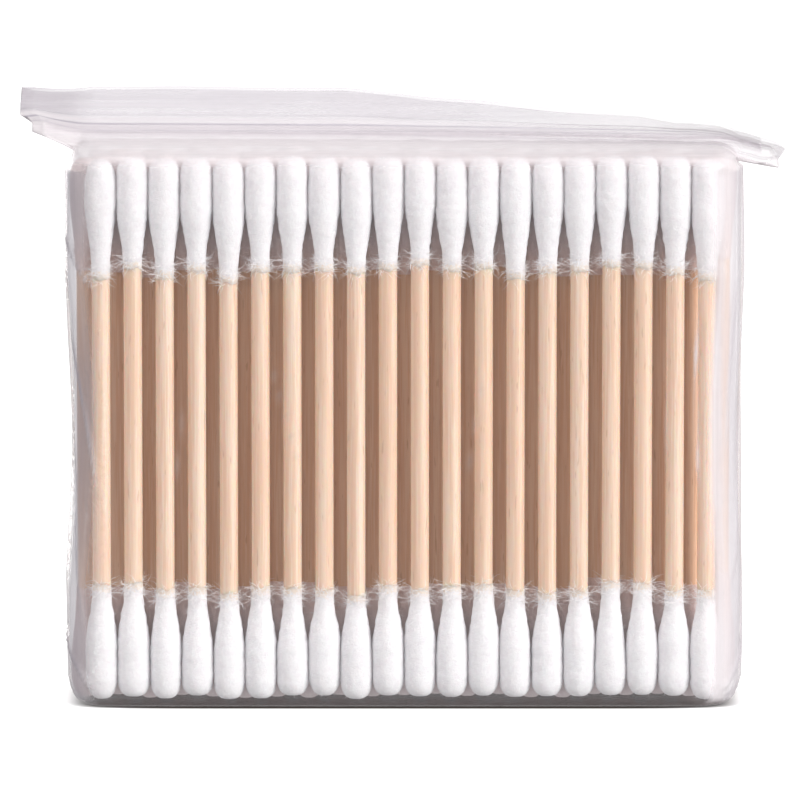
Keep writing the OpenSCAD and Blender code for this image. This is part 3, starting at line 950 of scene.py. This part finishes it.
class SwabPackFilm(bpy.types.PropertyGroup):
    columns: number("Columns", "Columns round the film", 420, IntProperty, min=72, max=600)
    wall_rows: number("Wall rows", "Rows up the film's walls", 92, IntProperty, min=9, max=200)
    tint: swatch("Haze colour", "Colour of the light that the film scatters", (0.71, 0.67, 0.69))
    # Also the darker haze of the lip and the side corners, and the painted shade at the front's
    # left corner
    line: swatch("Line colour", "Haze along the seal's lines", (0.4, 0.37, 0.42))
    gloss: number("Roughness", "Roughness of the film's gloss", 0.09, min=0, max=1)
    face_gloss: number("Mirror, face on", "Share of light mirrored face on", 0.045)
    edge_gloss: number("Mirror, edge on", "Further share mirrored edge on", 0.5)
    crinkle: number("Crinkle", "Strength of the fine crinkles", 0.25, min=0, max=1)
    lip_more: number("Taller lip", "Height of the lip over its solid's, in millimetres", 0.9,
                     min=0, max=1)
    ripple: number("Ripple", "Depth of the soft ripples, in millimetres", 0.09, min=0, max=0.2)
    crease: number("Creases", "Scale of the creases", 1.0)
    gather: number("Gathers", "Depth of the gathers under the neck, in mm", 0.3, min=0, max=0.5)
    haze_wall: number("Wall haze", "Haze over the walls", 0.04)
    haze_top: number("Top haze", "Further haze over the upper tips", 0.12)
    haze_right: number("Right haze", "Haze over the front's right corner", 0.64)
    haze_left: number("Left haze", "Haze round the front's left corner", 0.46)
    haze_weld: number("Weld haze", "Haze on the side welds", 0.3)
    haze_cap: number("Cap haze", "Haze under the seal", 0.78)
    haze_flap: number("Flap haze", "Haze of one flap film", 0.42)
    tape_haze: number("Tape haze", "Haze of the seal's tapes", 0.015)
    pinch: number("Ear pinch", "How far the flap's ends are drawn in under the seal, in mm", 1.8)


class SwabPackCotton(bpy.types.PropertyGroup):
    colour: swatch("Cotton", "Bleached cotton", (0.96, 0.945, 0.97))
    shade: swatch("Hollows", "Cotton in its shallow hollows", (0.9, 0.87, 0.905))
    over_wood: swatch("Over wood", "Thin cotton with the stick showing through",
                      (0.95, 0.78, 0.65))
    # Painted shade of the cotton inside the pack, and a browner painted shade at its ends on the
    # sticks
    inside: swatch("Inside", "Tint of the cotton inside the pack", (0.97, 0.88, 0.85))
    painted_shade_ends: swatch("Inside, ends", "Tint of that cotton at its ends on the sticks",
                        (0.92, 0.71, 0.62))
    see_through: number("Thin ends", "How much the stick shows through", 0.95, min=0, max=1)
    lift: number("Lift", "How far the tips are raised, in millimetres", 0.45)
    relief: number("Relief", "Depth of the lumps, in millimetres", 0.09, min=0, max=0.3)
    tufts: number("Tufts", "Depth of the small tufts, in millimetres", 0.08)
    turns: number("Turns", "Strength of the wound turns", 0.2)
    fuzz: number("Fuzz", "Strength of the fine fibres", 0.9)
    neck_wall: number("Neck", "Cotton at its end on the stick, in mm", 0.07)
    ragged: number("Ragged ends", "Unevenness of the ends, in mm", 0.16)
    bud_rows: number("Bud rows", "Rows along a bud", 50, IntProperty)
    bud_sides: number("Bud sides", "Steps round a bud", 40, IntProperty)


class SwabPackBirch(bpy.types.PropertyGroup):
    pale: swatch("Pale grain", "Pale early wood", (0.84, 0.68, 0.535))
    deep: swatch("Deep grain", "Darker late wood", (0.76, 0.53, 0.365))
    warm: swatch("Warm sticks", "Tone of the warmest sticks", (0.79, 0.54, 0.36))
    fleck: swatch("Flecks", "Brown flecks", (0.5, 0.28, 0.15))
    # Painted shade of the sticks inside the pack, multiplied over their wood
    inside: swatch("Inside", "Tint of the sticks inside the pack", (1.0, 0.87, 0.76))
    variation: number("Variation", "How much the sticks differ", 0.35, min=0, max=1)


class SwabPackLint(bpy.types.PropertyGroup):
    white: swatch("Fibre", "Colour of a single fibre", (1.0, 0.985, 0.99))
    strands: number("Strands", "Loose fibres at the buds' ends, a side", 6000, IntProperty)
    hairs: number("Hairs", "Short fibres over the buds, a side", 6000, IntProperty)
    hair_length: number("Hair length", "Length of a short fibre, in mm", 0.6)
    strand: number("Thickness", "Radius of a fibre, in millimetres", 0.032)
    strand_length: number("Length", "Length of a fibre, in millimetres", 1.6)


class SwabPackStage(bpy.types.PropertyGroup):
    floor: swatch("Floor", "Colour of the paper floor", (0.62, 0.62, 0.625))
    # Painted contact shadow of the pack on the paper
    painted_contact_shadow: swatch("Floor under the pack", "Colour of the paper at the pack's foot",
                 (0.03, 0.022, 0.018))
    glow: number("Floor glow", "Light that the floor gives off", 0.62)
    distance: number("Camera distance", "From camera to pack", 1.5, unit="LENGTH")
    elevation: number("Camera elevation", "Angle above the horizon", math.radians(8),
                      subtype="ANGLE")
    key: number("Key light", "Strength from the front right", 2.5)
    left: number("Left light", "Strength from the front left", 0.9)
    top: number("Top light", "Strength from above", 0.6)
    back: number("Back light", "Strength from behind", 1.3)
    fill: number("Ambient", "Strength of the white surroundings", 0.4)


class SwabPackSettings(bpy.types.PropertyGroup):
    film: PointerProperty(type=SwabPackFilm)
    cotton: PointerProperty(type=SwabPackCotton)
    birch: PointerProperty(type=SwabPackBirch)
    lint: PointerProperty(type=SwabPackLint)
    stage: PointerProperty(type=SwabPackStage)


# Operators


class SWABPACK_OT_sticks(bpy.types.Operator):
    """Gives every birch stick its grain, and the inner rows' sticks a painted shade"""

    bl_idname = "swab_pack.sticks"
    bl_label = "Birch Sticks"

    def execute(self, context):
        look = getattr(context.scene, SETTINGS).birch
        # The inner rows' sticks take a copy of the birch with painted shade; the back row keeps the
        # plain one
        birch, inner = birch_finish(look), birch_finish(look, "turned_birch_inside", 1.0)
        for number in FRONT:
            repaint(f"front_stick_{number}", birch)
        for row in (*INNER_ROWS, BACK_ROW):
            repaint(f"{row}_sticks", birch if row == BACK_ROW else inner)
        return {"FINISHED"}


class SWABPACK_OT_inner_cotton(bpy.types.Operator):
    """Gives the buds of the inner rows their cotton, darkened with painted shade"""

    bl_idname = "swab_pack.inner_cotton"
    bl_label = "Inner Cotton Buds"

    def execute(self, context):
        look = getattr(context.scene, SETTINGS).cotton
        # Painted shade: the inner rows' buds take a darkened copy of the cotton
        cotton = cotton_finish(look, "wound_cotton_inside", 1.0)
        for row in INNER_ROWS:
            repaint(f"{row}_buds", cotton)
        return {"FINISHED"}


class SWABPACK_OT_front_cotton(bpy.types.Operator):
    """Winds the cotton buds of the front row"""

    bl_idname = "swab_pack.front_cotton"
    bl_label = "Front Cotton Buds"

    def execute(self, context):
        look = getattr(context.scene, SETTINGS).cotton
        cotton = material_named("wound_cotton", cotton_finish, look)
        for n, number in enumerate(FRONT):
            node = f"front_buds_{number}"
            places = places_of(points_of(node))
            make_cotton(f"front_cotton_{number}", places, cotton, look, 40 + n, [node])
        return {"FINISHED"}


def back_row_places():
    """Places of the back row's buds, read from its solids one column at a time."""
    points = points_of(f"{BACK_ROW}_buds")
    column = np.round(points[:, 0] / PITCH + (ACROSS - 1) / 2)
    return [place for n in range(ACROSS) for place in places_of(points[column == n])]


class SWABPACK_OT_back_cotton(bpy.types.Operator):
    """Winds the cotton buds of the back row"""

    bl_idname = "swab_pack.back_cotton"
    bl_label = "Back Cotton Buds"

    def execute(self, context):
        look = getattr(context.scene, SETTINGS).cotton
        cotton = material_named("wound_cotton", cotton_finish, look)
        make_cotton("back_cotton", back_row_places(), cotton, look, 90, [f"{BACK_ROW}_buds"])
        return {"FINISHED"}


class SWABPACK_OT_lint(bpy.types.Operator):
    """Adds the loose fibres at the cotton's ends, in front and at the back"""

    bl_idname = "swab_pack.lint"
    bl_label = "Loose Fibres"

    def execute(self, context):
        settings = getattr(context.scene, SETTINGS)
        look = settings.lint
        fibre = lint_finish(look)
        front = surface_of(bpy.data.objects[f"front_cotton_{number}"] for number in FRONT)
        back = surface_of([bpy.data.objects["back_cotton"]])
        for side, surface, seed in (("front", front, 7), ("back", back, 8)):
            make_strands(f"{side}_lint", surface, look.strands, look.strand_length, look.strand,
                         True, fibre, seed)
            make_strands(f"{side}_fuzz", surface, look.hairs, look.hair_length, look.strand * 0.8,
                         False, fibre, seed + 20)
        return {"FINISHED"}


class SWABPACK_OT_seal_tapes(bpy.types.Operator):
    """Gives the press seal's tapes their clear plastic"""

    bl_idname = "swab_pack.seal_tapes"
    bl_label = "Seal Tapes"

    def execute(self, context):
        tape = tape_finish(getattr(context.scene, SETTINGS).film)
        for node in TAPES:
            repaint(node, tape)
            frame["nodes"][node].visible_shadow = False
        return {"FINISHED"}


class SWABPACK_OT_film_bag(bpy.types.Operator):
    """Lays the film round the swabs, with its welds, ears, creases and flap"""

    bl_idname = "swab_pack.film_bag"
    bl_label = "Film Bag"

    def execute(self, context):
        look = getattr(context.scene, SETTINGS).film
        film = new_piece("film", make_film(look), film_finish(look))
        film.visible_shadow = False
        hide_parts("film_bag")
        return {"FINISHED"}


def aim(thing, at):
    """Turns a camera or light to look at a point."""
    thing.rotation_mode = "QUATERNION"
    thing.rotation_quaternion = (Vector(at) - thing.location).to_track_quat("-Z", "Y")


def from_angle(azimuth, elevation, distance):
    """Point at an azimuth from the front, to the right, and an elevation, in degrees."""
    a, e = math.radians(azimuth), math.radians(elevation)
    return Vector((math.sin(a) * math.cos(e), -math.cos(a) * math.cos(e), math.sin(e))) * distance


class SWABPACK_OT_stage(bpy.types.Operator):
    """Makes the paper floor, the lights and the camera"""

    bl_idname = "swab_pack.stage"
    bl_label = "Stage"

    def add(self, context, name, data):
        """Links a new object to the scene."""
        thing = bpy.data.objects.new(name, data)
        context.scene.collection.objects.link(thing)
        return thing

    def light(self, context, name, kind, place, at):
        """Adds a light at a place and turns it to a point."""
        data = bpy.data.lights.new(name, kind)
        lamp = self.add(context, name, data)
        lamp.location = from_angle(*place)
        aim(lamp, at)
        return data

    def execute(self, context):
        look = getattr(context.scene, SETTINGS).stage
        bm = bmesh.new()
        bmesh.ops.create_circle(bm, cap_ends=True, radius=FLOOR_RADIUS, segments=64)
        mesh = mesh_from("floor", bm)
        mesh.materials.append(floor_finish(look))
        floor = self.add(context, "floor", mesh)
        floor.visible_diffuse = floor.visible_glossy = False

        for name, azimuth, elevation, width, colour in SUNS:
            place = (azimuth, elevation, SUN_DISTANCE)
            data = self.light(context, name, "SUN", place, (0, 0, 0))
            data.energy, data.angle, data.color = getattr(look, name), math.radians(width), colour
        for name, azimuth, elevation, power, size in STRIPS:
            place = (azimuth, elevation, STRIP_DISTANCE)
            data = self.light(context, name, "AREA", place, (0, 0, 0.04))
            data.shape, (data.size, data.size_y), data.energy = "RECTANGLE", size, power

        world = bpy.data.worlds.new("studio")
        world.use_nodes = True
        background = world.node_tree.nodes["Background"]
        background.inputs["Color"].default_value = (1, 0.99, 0.995, 1)
        background.inputs["Strength"].default_value = look.fill
        context.scene.world = world
        context.scene.view_settings.view_transform = "Standard"
        context.scene.cycles.transparent_max_bounces = 32

        data = bpy.data.cameras.new("camera")
        data.lens, data.sensor_width = LENS, SENSOR
        data.clip_start, data.clip_end = 0.1, 20
        camera = self.add(context, "camera", data)
        target = Vector(CAMERA_TARGET)
        camera.location = target + from_angle(0, math.degrees(look.elevation), look.distance)
        aim(camera, target)
        context.scene.camera = camera
        return {"FINISHED"}


OPERATORS = (
    SWABPACK_OT_stage,
    SWABPACK_OT_sticks,
    SWABPACK_OT_inner_cotton,
    SWABPACK_OT_front_cotton,
    SWABPACK_OT_back_cotton,
    SWABPACK_OT_lint,
    SWABPACK_OT_seal_tapes,
    SWABPACK_OT_film_bag,
)


class SWABPACK_PT_sidebar(bpy.types.Panel):
    """Lists the pieces of the swab pack"""

    bl_idname = "SWABPACK_PT_sidebar"
    bl_label = "Swab Pack"
    bl_space_type = "VIEW_3D"
    bl_region_type = "UI"
    bl_category = "Swab Pack"

    def draw(self, context):
        for operator in OPERATORS:
            self.layout.operator(operator.bl_idname)


GROUPS = (SwabPackFilm, SwabPackCotton, SwabPackBirch, SwabPackLint, SwabPackStage)
CLASSES = (*GROUPS, SwabPackSettings, *OPERATORS, SWABPACK_PT_sidebar)


def register():
    for cls in CLASSES:
        bpy.utils.register_class(cls)
    setattr(bpy.types.Scene, SETTINGS, PointerProperty(type=SwabPackSettings))


def unregister():
    delattr(bpy.types.Scene, SETTINGS)
    for cls in reversed(CLASSES):
        bpy.utils.unregister_class(cls)


def main():
    """Builds every piece in order."""
    register()
    for operator in OPERATORS:
        group, name = operator.bl_idname.split(".")
        getattr(getattr(bpy.ops, group), name)()
    bpy.context.view_layer.update()


if __name__ == "__main__":
    main()
